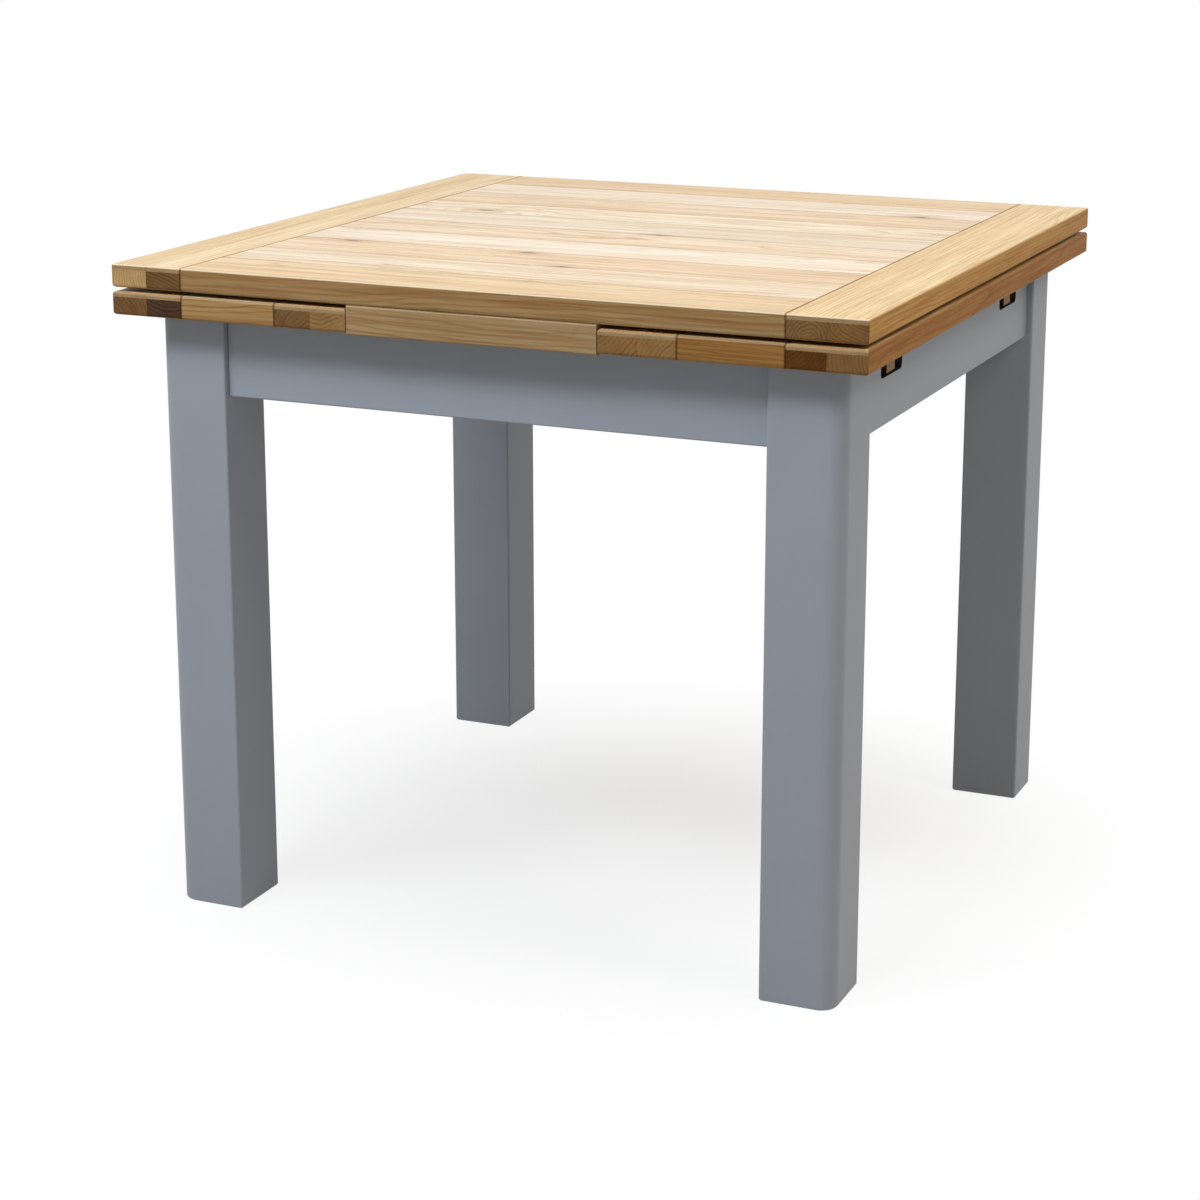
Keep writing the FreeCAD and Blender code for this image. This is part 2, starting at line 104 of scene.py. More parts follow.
class Shader:
    """The nodes of one material or world, with short calls for the kinds of node that are used."""

    # The colour sockets of a Mix node, which has others of the same names
    MIX_A = 6
    MIX_B = 7
    MIX_RESULT = 2

    def __init__(self, owner):
        owner.use_nodes = True
        self.owner = owner
        self.tree = owner.node_tree
        self.tree.nodes.clear()

    def node(self, kind, inputs, **settings):
        made = self.tree.nodes.new(kind)
        for key, value in settings.items():
            setattr(made, key, value)
        for key, value in inputs.items():
            if isinstance(value, bpy.types.NodeSocket):
                self.tree.links.new(value, made.inputs[key])
            else:
                made.inputs[key].default_value = value
        return made

    def math(self, operation, *values):
        inputs = dict(enumerate(values))
        return self.node("ShaderNodeMath", inputs, operation=operation).outputs[0]

    def add(self, a, b):
        return self.math("ADD", a, b)

    def sub(self, a, b):
        return self.math("SUBTRACT", a, b)

    def mul(self, a, b):
        return self.math("MULTIPLY", a, b)

    def larger(self, a, b):
        return self.math("MAXIMUM", a, b)

    def absolute(self, value):
        return self.math("ABSOLUTE", value)

    def hypotenuse(self, a, b):
        return self.math("SQRT", self.add(self.mul(a, a), self.mul(b, b)))

    def weighed(self, start, *terms):
        """A number plus values that are each multiplied by a weight."""
        total = start
        for value, weight in terms:
            total = self.add(total, self.mul(value, weight))
        return total

    def between(self, factor, a, b):
        """A number that goes from a to b."""
        return self.add(a, self.mul(factor, self.sub(b, a)))

    def step(self, value, low, high, to_low=0.0, to_high=1.0):
        """A smooth step from to_low, at low, to to_high, at high."""
        inputs = {"Value": value, "From Min": low, "From Max": high, "To Min": to_low, "To Max": to_high}
        return self.node("ShaderNodeMapRange", inputs, interpolation_type="SMOOTHSTEP").outputs[0]

    def fall(self, value, low, high):
        """A smooth step down from 1, at low, to 0, at high."""
        return self.step(value, low, high, 1.0, 0.0)

    def vector(self, x, y, z):
        return self.node("ShaderNodeCombineXYZ", {0: x, 1: y, 2: z}).outputs[0]

    def split(self, value):
        return self.node("ShaderNodeSeparateXYZ", {0: value}).outputs

    def noise(self, place, scale=1.0, detail=2.0, roughness=0.5):
        inputs = {"Vector": place, "Scale": scale, "Detail": detail, "Roughness": roughness}
        return self.node("ShaderNodeTexNoise", inputs).outputs["Fac"]

    def random(self, value):
        """Three random values between 0 and 1 for a number."""
        made = self.node("ShaderNodeTexWhiteNoise", {"W": value}, noise_dimensions="1D")
        return self.split(made.outputs["Color"])

    def mix(self, factor, a, b, blend="MIX"):
        inputs = {0: factor, self.MIX_A: a, self.MIX_B: b}
        made = self.node("ShaderNodeMix", inputs, data_type="RGBA", blend_type=blend)
        return made.outputs[self.MIX_RESULT]

    def multiply(self, colour, tone, factor=1.0):
        return self.mix(factor, colour, tone, "MULTIPLY")

    def lighten(self, colour, value):
        """A colour made lighter or darker by a number."""
        grey = self.node("ShaderNodeCombineColor", {0: value, 1: value, 2: value})
        return self.multiply(colour, grey.outputs[0])

    def pick(self, index, colours):
        """The colour with that number in a list."""
        share = self.math("DIVIDE", self.add(index, 0.5), len(colours))
        made = self.node("ShaderNodeValToRGB", {0: share})
        ramp = made.color_ramp
        ramp.interpolation = "CONSTANT"
        # A new ramp has two stops already
        for i, colour in enumerate(colours):
            position = i / len(colours)
            stop = ramp.elements[i] if i < 2 else ramp.elements.new(position)
            stop.position = position
            stop.color = colour
        return made.outputs["Color"]

    def bump(self, height, distance, strength):
        inputs = {"Height": height, "Distance": distance, "Strength": strength}
        return self.node("ShaderNodeBump", inputs).outputs[0]

    def coordinates(self, kind):
        return self.node("ShaderNodeTexCoord", {}).outputs[kind]

    def seen(self):
        """1 where the camera, a reflection or a clear material looks, and 0 where light is gathered."""
        path = self.node("ShaderNodeLightPath", {}).outputs
        passed_on = self.larger(path["Is Glossy Ray"], path["Is Transmission Ray"])
        return self.larger(path["Is Camera Ray"], passed_on)

    def show(self, surface, output="ShaderNodeOutputMaterial"):
        self.node(output, {0: surface.outputs[0]})
        return self.owner

    def principled(self, **inputs):
        return self.show(self.node("ShaderNodeBsdfPrincipled", inputs))


# Oak: colours of the wood, and of a painted highlight on its eased edges
OAK_PALE = srgb(234, 206, 155)
OAK_MID = srgb(224, 187, 130)
OAK_BROWN = srgb(194, 148, 90)
OAK_LINE = srgb(172, 126, 70)
OAK_PORE = srgb(128, 88, 48)
# Painted highlight for the eased upper edges
OAK_EDGE_GLINT = srgb(246, 226, 192)
KNOT_DARK = srgb(66, 38, 18)
END_PLAIN = srgb(176, 141, 98)
END_LAYER = srgb(162, 132, 94)

# Oak: tones that multiply these colours
OAK_PLAIN = (1.0, 1.0, 1.0, 1.0)
OAK_HONEY = (0.94, 0.97, 0.94, 1.0)
OAK_CREAM = (0.97, 1.09, 1.28, 1.0)
OAK_DUN = (0.89, 0.92, 0.93, 1.0)
OAK_ASH = (1.07, 1.29, 1.62, 1.0)
OAK_TAN = (0.86, 0.8, 0.7, 1.0)
OAK_PINK = srgb(240, 216, 178)
OAK_STREAK = (0.78, 0.68, 0.56, 1.0)
# Painted shade for the bearers where they lie in the notches
BEARER_SHADE = (0.25, 0.17, 0.1, 1.0)
# Painted shade for undersides
OAK_UNDER_SHADE = (0.5, 0.42, 0.34, 1.0)
JOINT_DARK = (0.24, 0.16, 0.1, 1.0)

# Oak: painted shade on upright faces along the grain: darker, warmer tones than the upper faces, set for each
# panel
OAK_SIDE_SHADE = (0.67, 0.59, 0.54, 1.0)
OAK_FRONT = (0.6, 0.51, 0.41, 1.0)
OAK_ORANGE = (0.93, 0.72, 0.37, 1.0)
OAK_RUSSET = (0.64, 0.41, 0.17, 1.0)
OAK_AMBER = (0.54, 0.38, 0.2, 1.0)
OAK_STRAW = (0.63, 0.49, 0.33, 1.0)

# Oak: tones of the planks from front to rear, partly each plank's own and partly a painted sheen: creamy in
# the middle, where the lacquer's glare lies, and yellower at the front and rear
WOOD_GOLD = (1.0, 1.1, 1.3, 1.0)
WOOD_BISCUIT = (1.05, 1.21, 1.7, 1.0)
WOOD_PALE = (1.06, 1.26, 1.84, 1.0)
WOOD_CREAM = (1.08, 1.34, 2.16, 1.0)
PLANK_TONES_AND_SHEEN = [
    WOOD_GOLD, WOOD_PALE, WOOD_BISCUIT, WOOD_CREAM, WOOD_BISCUIT,
    WOOD_CREAM, WOOD_PALE, WOOD_PALE, WOOD_CREAM, WOOD_GOLD,
]

# Oak: patterns drawn out along the grain, in changes per metre along it and across it
BANDS = {"along": 1.3, "across": 46.0, "detail": 3.0, "roughness": 0.55}
STREAKS = {"along": 2.6, "across": 130.0, "detail": 4.0, "roughness": 0.62}
FIBRES = {"along": 7.0, "across": 330.0, "detail": 5.0, "roughness": 0.62}
RIPPLES = {"along": 9.0, "across": 70.0}
PORES = {"along": 55.0, "across": 1500.0}
RAGGED = {"along": 90.0, "across": 260.0, "detail": 3.0}
WANDER = {"along": 2.4, "across": 7.0}

# Oak: pattern values between which each pattern fades in
BAND_FADE = (0.34, 0.66)
STREAK_FADE = (0.5, 0.72)
FIBRE_FADE = (0.4, 0.68)
PORE_FADE = (0.56, 0.72)
END_PORE_FADE = (0.5, 0.7)

# Oak: how strongly each shows in the colour, how far pores show in late wood, and the brightest board's shade
FIBRE_SHARE = 0.8
PINK_SHARE = 0.6
PORE_SHARE = 0.7
END_PORE_SHARE = 0.25
LATE_PORES = 0.2
BRIGHTEST_BOARD = 1.04

# Oak: numbers that keep the random draws of layers, boards and years apart, and how far at most a board's
# pattern is moved along the grain, in metres
LAYER_NUMBERS = 37.0
SECOND_DRAW = 0.37
THIRD_DRAW = 0.71
YEAR_DRAW = 3.1
BOARD_MOVE = 7.0

# Oak: growth rings, in metres. The pith they centre on lies within a spread of the board's width, above or
# below its middle, and in a glued-on layer to one side and below
PITH_SPREAD = 1.1
PITH_NEAREST = 0.022
PITH_RANGE = 0.06
LAYER_PITH = (0.07, -0.03)
LAYER_PITH_RANGE = -0.03
RING_NARROWEST = 0.0033
RING_RANGE = 0.002
RIPPLE_DEPTH = 0.005
WANDER_DEPTH = 0.022
FIBRE_SWAY = 0.004

# Oak: how far the rings lean, per metre along the board, and how their second wander differs from the first
LEAN_ACROSS = 0.05
LEAN_UP = 0.06
SECOND_WANDER = (5.2, 1.3, 8.1)
SECOND_WANDER_SCALE = 1.3

# Oak: where in a year the early wood ends and begins again, and how far it shows in the faintest year
EARLY_ENDS = 0.38
EARLY_BEGINS = 0.88
FAINTEST_YEAR = 0.25

# Oak: knots, longer along the grain and ragged, with their reach in sizes of the knot
KNOT_SHORTENED = 0.4
KNOT_CORE = (0.2, 0.75)
KNOT_HALO = (0.5, 2.4)
KNOT_BEND_REACH = 5.0
KNOT_BEND_DEPTH = 1.4
RAGGED_LEAST = 0.3
RAGGED_RANGE = 1.4
KNOT_CORE_SHARE = 0.9
KNOT_HALO_SHARE = 0.5

# Oak: sawn ends, how bright they are and how strongly rings and bands show in them
END_BRIGHT = 1.22
END_RINGS = 0.62
END_LAYER_RINGS = 0.15
END_BAND_LEAST = 0.7
END_BAND_RANGE = 0.6

# Oak: faces told apart by how far they look up, along the grain, to the front or rear, or across the grain
UPPER_FACE = (0.15, 0.5)
EASED_FACE = (0.86, 0.97)
UNDER_FACE = (-0.9, -0.6)
UPRIGHT_FACE = (0.7, 0.95)
END_FACE = (0.6, 0.85)
FRONT_FACE = (0.2, 0.5)
JOINT_FACE = (0.3, 0.7)

# Oak: how strongly a painted highlight lightens the eased upper edges, at the left and right and at the front
# and rear
EDGE_GLINT_SIDES = 0.2
EDGE_GLINT_FRONT = 0.75

# Oak: joint lines beside boards and where others butt on, in metres from the joint, and the latter's darkness
JOINT_FADE = (0.00072, 0.00192)
BUTT_FADE = (0.00048, 0.00192)
BUTT_DARK = 0.75

# Oak: roughness, relief, which is in metres, and lacquer
OAK_ROUGH = 0.34
ROUGH_FIBRE = 0.12
ROUGH_END = 0.14
ROUGH_PORE = 0.15
ROUGH_JOINT = 0.45
RELIEF_FIBRE = 0.5
RELIEF_EARLY = -0.25
RELIEF_PORE = -1.0
RELIEF_JOINT = -0.6
OAK_RELIEF = 0.00022
OAK_RELIEF_STRENGTH = 0.55
LACQUER_LEAST = 0.01
LACQUER_ROUGH = 0.3


class Oak(Shader):
    """Oak boards lying side by side, drawn as solid wood, so that each face shows its own cut.

    u runs along the grain and v across it, and height is measured from the boards' centre."""

    def __init__(self, name, grain, middle):
        super().__init__(bpy.data.materials.new(name))
        self.x, y, self.z = self.split(self.coordinates("Object"))
        facing_x, self.facing_y, self.facing_up = self.split(self.coordinates("Normal"))
        if grain == "X":
            self.u, self.v = self.x, y
            self.facing_u, self.facing_v = facing_x, self.facing_y
        else:
            self.u, self.v = y, self.x
            self.facing_u, self.facing_v = self.facing_y, facing_x
        self.height = self.sub(self.z, middle)

    def stretched(self, u, v, w, along, across):
        return self.vector(self.mul(u, along), self.mul(v, across), self.mul(w, across))

    def pattern(self, u, v, w, along, across, detail=2.0, roughness=0.5):
        """Noise drawn out along the grain."""
        return self.noise(self.stretched(u, v, w, along, across), 1.0, detail, roughness)

    def board_at(self, start, pitch):
        """The number of the board at a place, and how far the place is from its middle and its edge."""
        from_start = self.sub(self.v, start)
        number = self.math("FLOOR", self.math("DIVIDE", from_start, pitch))
        across = self.sub(from_start, self.mul(self.add(number, 0.5), pitch))
        return number, across, self.sub(pitch / 2, self.absolute(across))

    def lay_boards(self, boards, layer, face, seed):
        """Find the board at a place, which may be one of the glued-on layer, and draw its random values."""
        self.pitch = boards[1]
        self.number, self.across, self.edge = self.board_at(*boards)
        self.in_layer = 0.0
        if layer is not None:
            self.in_layer = self.math("GREATER_THAN", self.z, layer)
            number, across, edge = self.board_at(*face)
            self.number = self.between(self.in_layer, self.number, self.add(number, LAYER_NUMBERS))
            self.across = self.between(self.in_layer, self.across, across)
            self.edge = self.between(self.in_layer, self.edge, edge)
        self.board = self.add(self.number, seed)
        self.pith_aside, self.pith_away, self.pith_over = self.random(self.board)
        self.lean_across, self.lean_up, move = self.random(self.add(self.board, SECOND_DRAW))
        self.ring_width, self.pinkness, self.shade = self.random(self.add(self.board, THIRD_DRAW))
        self.far_u = self.add(self.u, self.mul(move, BOARD_MOVE))

    def mark_knots(self, knots):
        """How far knots push the growth rings out, and where their cores and halos are."""
        self.bend = 0.0
        self.knot_core = 0.0
        self.knot_halo = 0.0
        if not knots:
            return
        ragged = self.pattern(self.u, self.v, 0.0, **RAGGED)
        for knot_u, knot_v, size in knots:
            along = self.mul(self.sub(self.u, knot_u), KNOT_SHORTENED)
            away = self.hypotenuse(along, self.sub(self.v, knot_v))
            push = self.step(away, 0.0, size * KNOT_BEND_REACH, size * KNOT_BEND_DEPTH, 0.0)
            torn = self.mul(away, self.weighed(RAGGED_LEAST, (ragged, RAGGED_RANGE)))
            core = self.fall(torn, *(size * reach for reach in KNOT_CORE))
            halo = self.fall(torn, *(size * reach for reach in KNOT_HALO))
            self.bend = self.add(self.bend, push)
            self.knot_core = self.larger(self.knot_core, core)
            self.knot_halo = self.larger(self.knot_halo, halo)

    def grow_rings(self, pith):
        """How open the wood is that grew at a place: early wood is 1 at most, and late wood is 0."""
        board_v = self.add(self.across, self.pith_aside)
        board_w = self.add(self.height, self.pith_away)
        wander = self.stretched(self.far_u, board_v, board_w, **WANDER)
        moved = self.node("ShaderNodeVectorMath", {0: wander, 1: SECOND_WANDER}, operation="ADD").outputs[0]
        self.wave = self.sub(self.noise(wander), 0.5)
        wave_up = self.sub(self.noise(moved, SECOND_WANDER_SCALE), 0.5)

        if pith is None:
            pith_v = self.mul(self.sub(self.pith_aside, 0.5), self.pitch * PITH_SPREAD)
            over = self.math("SIGN", self.sub(self.pith_over, 0.5))
            pith_w = self.mul(self.weighed(PITH_NEAREST, (self.pith_away, PITH_RANGE)), over)
        else:
            layer_v = self.weighed(LAYER_PITH[0], (self.pith_aside, LAYER_PITH_RANGE))
            layer_w = self.weighed(LAYER_PITH[1], (self.pith_away, LAYER_PITH_RANGE))
            pith_v = self.between(self.in_layer, pith[0], layer_v)
            pith_w = self.between(self.in_layer, pith[1], layer_w)

        lean_v = self.mul(self.sub(self.lean_across, 0.5), LEAN_ACROSS)
        lean_w = self.mul(self.sub(self.lean_up, 0.5), LEAN_UP)
        ring_v = self.weighed(self.sub(self.across, pith_v), (self.u, lean_v), (self.wave, WANDER_DEPTH))
        ring_w = self.weighed(self.sub(self.height, pith_w), (self.u, lean_w), (wave_up, WANDER_DEPTH))
        ripple = self.sub(self.pattern(self.far_u, self.v, self.z, **RIPPLES), 0.5)
        radius = self.add(self.hypotenuse(ring_v, ring_w), self.bend)
        radius = self.weighed(radius, (ripple, RIPPLE_DEPTH))

        turns = self.math("DIVIDE", radius, self.weighed(RING_NARROWEST, (self.ring_width, RING_RANGE)))
        year = self.math("FLOOR", turns)
        season = self.math("FRACT", turns)
        year_tone = self.random(self.weighed(year, (self.board, YEAR_DRAW)))[0]
        early = self.larger(self.fall(season, 0.0, EARLY_ENDS), self.step(season, EARLY_BEGINS, 1.0))
        self.early = self.mul(early, self.weighed(FAINTEST_YEAR, (year_tone, 1.0 - FAINTEST_YEAR)))

    def draw_fibres(self):
        """Broad bands, fibres, and pores, most of which are in the early wood."""
        swayed = self.weighed(self.v, (self.wave, FIBRE_SWAY))
        self.band = self.pattern(self.far_u, self.v, self.z, **BANDS)
        self.fibre = self.pattern(self.far_u, swayed, self.z, **FIBRES)
        self.pores = self.pattern(self.far_u, self.v, self.z, **PORES)
        open_wood = self.weighed(LATE_PORES, (self.early, 1.0 - LATE_PORES))
        self.pore = self.mul(self.step(self.pores, *PORE_FADE), open_wood)

    def tell_faces(self):
        """Where a face is a sawn end, an upper one, an eased edge, an underside or upright."""
        self.end = self.step(self.absolute(self.facing_u), *END_FACE)
        self.upper = self.step(self.facing_up, *UPPER_FACE)
        self.eased = self.mul(self.upper, self.fall(self.facing_up, *EASED_FACE))
        self.under = self.fall(self.facing_up, *UNDER_FACE)
        self.upright = self.mul(self.fall(self.facing_up, *UPRIGHT_FACE), self.sub(1.0, self.under))

    def joints(self, seam, butts):
        """The dark lines between boards, and where boards of the other direction butt on."""
        joint = self.step(self.edge, *JOINT_FADE, seam, 0.0)
        joint = self.mul(joint, self.fall(self.absolute(self.facing_v), *JOINT_FACE))
        for place in butts:
            gap = self.absolute(self.sub(self.x, place))
            joint = self.larger(joint, self.step(gap, *BUTT_FADE, BUTT_DARK, 0.0))
        return joint

    def wood_colour(self, figure, streaked):
        """The colour of bands, fibres, growth rings, streaks and pores."""
        colour = self.mix(self.step(self.band, *BAND_FADE), OAK_PALE, OAK_MID)
        fibre = self.mul(self.step(self.fibre, *FIBRE_FADE), FIBRE_SHARE)
        colour = self.mix(fibre, colour, OAK_BROWN)
        colour = self.mix(self.mul(self.early, figure), colour, OAK_LINE)
        if streaked:
            streak = self.pattern(self.far_u, self.v, self.z, **STREAKS)
            colour = self.multiply(colour, OAK_STREAK, self.step(streak, *STREAK_FADE))
        colour = self.multiply(colour, OAK_PINK, self.mul(self.pinkness, PINK_SHARE))
        return self.mix(self.mul(self.pore, PORE_SHARE), colour, OAK_PORE)

    def end_colour(self, end_core):
        """The colour of sawn ends, where rings and pores are cut across."""
        colour = self.mix(self.in_layer, end_core, END_LAYER)
        rings = self.mul(self.early, self.between(self.in_layer, END_RINGS, END_LAYER_RINGS))
        band = self.weighed(END_BAND_LEAST, (self.band, END_BAND_RANGE))
        pore = self.mul(self.step(self.pores, *END_PORE_FADE), END_PORE_SHARE)
        light = self.mul(self.sub(END_BRIGHT, rings), band)
        return self.lighten(colour, self.mul(light, self.sub(1.0, pore)))


def oak(name, grain, boards, middle, seed, layer=None, face=None, pith=None, end_core=END_PLAIN,
        tint=OAK_PLAIN, butts=(), knots=(), seam=0.95, contrast=0.22, coat=0.5, gloss=0.3, side=OAK_SIDE_SHADE,
        tones=None, bearer_shade=None, edge_glint=0.0, figure=0.7, streaked=False):
    """Lacquered oak boards.

    grain is the axis the fibres follow, boards are the start and pitch of the boards across it, and middle
    is the height of their centre. layer is the height above which a glued-on layer shows other boards,
    given by face. pith is where the core's growth rings centre, from the board's middle, and end_core its
    colour at the ends. tint is the tone of all the boards, or tones are those of one after another. butts
    are x values where boards of the other direction butt on, and knots are places in plan. seam is how dark
    the joints are, contrast how much the boards differ in shade, coat how thick the lacquer lies on upper
    faces, and gloss how much the wood under it shines. side is the tone of upright faces, a painted shade
    that darkens and warms them, and handled is how far from the table's middle a painted shade begins and
    ends to darken the wood where it lies in the notches. rub is how strongly a painted highlight lightens
    the eased upper edges, figure how strongly the growth rings show, and streaked is whether longer streaks
    do."""
    s = Oak(name, grain, middle)
    s.lay_boards(boards, layer, face, seed)
    s.mark_knots(knots)
    s.grow_rings(pith)
    s.draw_fibres()
    s.tell_faces()
    joint = s.joints(seam, butts)

    colour = s.wood_colour(figure, streaked)
    colour = s.lighten(colour, s.weighed(BRIGHTEST_BOARD - contrast, (s.shade, contrast)))
    # Each board's tint; the top planks' tones are partly a painted sheen, paler in the middle
    colour = s.multiply(colour, tint if tones is None else s.pick(s.number, tones))
    # Painted shade: upright faces along the grain are darkened and warmed by the side tone
    colour = s.multiply(colour, side, s.upright)
    # Painted shade: undersides are darkened
    colour = s.multiply(colour, OAK_UNDER_SHADE, s.under)
    # Painted shade where the bearers lie in the notches, darkening them towards their outer ends
    if bearer_shade is not None:
        colour = s.multiply(colour, BEARER_SHADE, s.step(s.absolute(s.x), *bearer_shade))
    colour = s.mix(s.end, colour, s.end_colour(end_core))
    if knots:
        colour = s.mix(s.mul(s.knot_halo, KNOT_HALO_SHARE), colour, OAK_LINE)
        colour = s.mix(s.mul(s.knot_core, KNOT_CORE_SHARE), colour, KNOT_DARK)
    # Painted highlight: a pale line along the eased upper edges, stronger at the front and rear than at the
    # sides
    if edge_glint > 0.0:
        glint = s.step(s.absolute(s.facing_y), *FRONT_FACE, EDGE_GLINT_SIDES * edge_glint, EDGE_GLINT_FRONT * edge_glint)
        colour = s.mix(s.mul(s.eased, glint), colour, OAK_EDGE_GLINT)
    colour = s.multiply(colour, JOINT_DARK, joint)

    rough = s.weighed(OAK_ROUGH, (s.fibre, ROUGH_FIBRE), (s.end, ROUGH_END), (s.pore, ROUGH_PORE),
                      (joint, ROUGH_JOINT))
    relief = s.weighed(0.0, (s.fibre, RELIEF_FIBRE), (s.early, RELIEF_EARLY), (s.pore, RELIEF_PORE),
                       (joint, RELIEF_JOINT))
    lacquer = s.mul(s.weighed(LACQUER_LEAST, (s.upper, coat)), s.sub(1.0, joint))
    return s.principled(**{
        "Base Color": colour,
        "Roughness": rough,
        "Normal": s.bump(relief, OAK_RELIEF, OAK_RELIEF_STRENGTH),
        "Specular IOR Level": gloss,
        "Coat Weight": lacquer,
        "Coat Roughness": LACQUER_ROUGH,
    })


# Paint: its colours, and a dark painted shade for the notches' insides
PAINT_BASE = srgb(164, 169, 177)
PAINT_LIGHT = srgb(171, 176, 184)
PAINT_DEEP = srgb(157, 162, 171)
NOTCH_PAINTED_SHADE = srgb(58, 50, 44)

# Paint: brush strokes, in changes per metre along and across them, broad clouds and fine grit
STROKE_ALONG = 9.0
STROKE_ACROSS = 520.0
STROKE_NOISE = {"detail": 4.0, "roughness": 0.6}
STROKE_FADE = (0.4, 0.75)
STROKE_SHARE = 0.16
CLOUD_NOISE = {"scale": 5.5, "detail": 3.0, "roughness": 0.55}
CLOUD_FADE = (0.3, 0.7)
GRIT_NOISE = {"scale": 900.0}
BASE_SHARE = 0.75

# Paint: a painted shade in the notches, on faces that don't look along X
NOTCH_MARGIN = 0.0025
PAINTED_FACE = (0.5, 0.75)
NOTCH_SHADE_LEAST = 0.7
NOTCH_SHADE_RANGE = 0.6

# Paint: roughness, relief, which is in metres, and gloss
PAINT_ROUGH = 0.34
ROUGH_STROKE = 0.14
ROUGH_CLOUD = 0.1
RELIEF_STROKE = 0.7
RELIEF_GRIT = 0.3
PAINT_RELIEF = 0.00012
PAINT_RELIEF_STRENGTH = 0.5
PAINT_GLOSS = 0.35


def paint(name, stroke, notch=None):
    """Satin furniture paint with faint brush strokes along one axis. notch is the lowest and highest place
    of the notches, whose sawn insides get a dark painted shade."""
    s = Shader(bpy.data.materials.new(name))
    place = s.coordinates("Object")
    x, y, z = s.split(place)
    scales = [STROKE_ALONG if axis == stroke else STROKE_ACROSS for axis in "XYZ"]
    strokes = s.noise(s.vector(*map(s.mul, (x, y, z), scales)), **STROKE_NOISE)
    cloud = s.noise(place, **CLOUD_NOISE)
    grit = s.noise(place, **GRIT_NOISE)
    colour = s.mix(s.step(cloud, *CLOUD_FADE), PAINT_DEEP, PAINT_LIGHT)
    colour = s.mix(BASE_SHARE, colour, PAINT_BASE)
    colour = s.mix(s.mul(s.step(strokes, *STROKE_FADE), STROKE_SHARE), colour, PAINT_LIGHT)
    # Painted shade: the insides of the notches are darkened, with a little grit
    if notch is not None:
        facing_x = s.absolute(s.split(s.coordinates("Normal"))[0])
        inside = s.mul(s.math("GREATER_THAN", z, notch[0]), s.math("LESS_THAN", z, notch[1]))
        in_shade = s.mul(s.fall(facing_x, *PAINTED_FACE), inside)
        colour = s.mix(in_shade, colour, s.lighten(NOTCH_PAINTED_SHADE, s.weighed(NOTCH_SHADE_LEAST, (grit, NOTCH_SHADE_RANGE))))
    relief = s.weighed(0.0, (strokes, RELIEF_STROKE), (grit, RELIEF_GRIT))
    return s.principled(**{
        "Base Color": colour,
        "Roughness": s.weighed(PAINT_ROUGH, (strokes, ROUGH_STROKE), (cloud, ROUGH_CLOUD)),
        "Normal": s.bump(relief, PAINT_RELIEF, PAINT_RELIEF_STRENGTH),
        "Specular IOR Level": PAINT_GLOSS,
    })


# Zinc plate: colours, mottling and fine grain
ZINC_DULL = srgb(168, 170, 172)
ZINC_BRIGHT = srgb(206, 206, 200)
MOTTLE_NOISE = {"scale": 260.0, "detail": 3.0, "roughness": 0.6}
ZINC_NOISE = {"scale": 1900.0}
ZINC_ROUGH = 0.2
ROUGH_MOTTLE = 0.2
ROUGH_ZINC = 0.12
ZINC_RELIEF = 0.00008
ZINC_RELIEF_STRENGTH = 0.4


def zinc(name):
    """Bright zinc plate, slightly mottled."""
    s = Shader(bpy.data.materials.new(name))
    place = s.coordinates("Object")
    mottle = s.noise(place, **MOTTLE_NOISE)
    fine = s.noise(place, **ZINC_NOISE)
    return s.principled(**{
        "Base Color": s.mix(mottle, ZINC_DULL, ZINC_BRIGHT),
        "Metallic": 1.0,
        "Roughness": s.weighed(ZINC_ROUGH, (mottle, ROUGH_MOTTLE), (fine, ROUGH_ZINC)),
        "Normal": s.bump(fine, ZINC_RELIEF, ZINC_RELIEF_STRENGTH),
    })


def lowest(name):
    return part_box(name)[0]


def highest(name):
    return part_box(name)[1]


def middle_height(name):
    return (lowest(name).z + highest(name).z) / 2


def dress(material, *names):
    for name in names:
        for holder in nodes[name].material_slots:
            holder.material = material


# The top's knots: x, y and size in metres
TOP_KNOTS = [
    (-0.253, 0.115, 0.009),
    (-0.283, -0.187, 0.007),
    (-0.052, -0.189, 0.008),
    (0.028, -0.267, 0.0065),
    (0.278, 0.276, 0.009),
    (0.034, 0.001, 0.007),
]

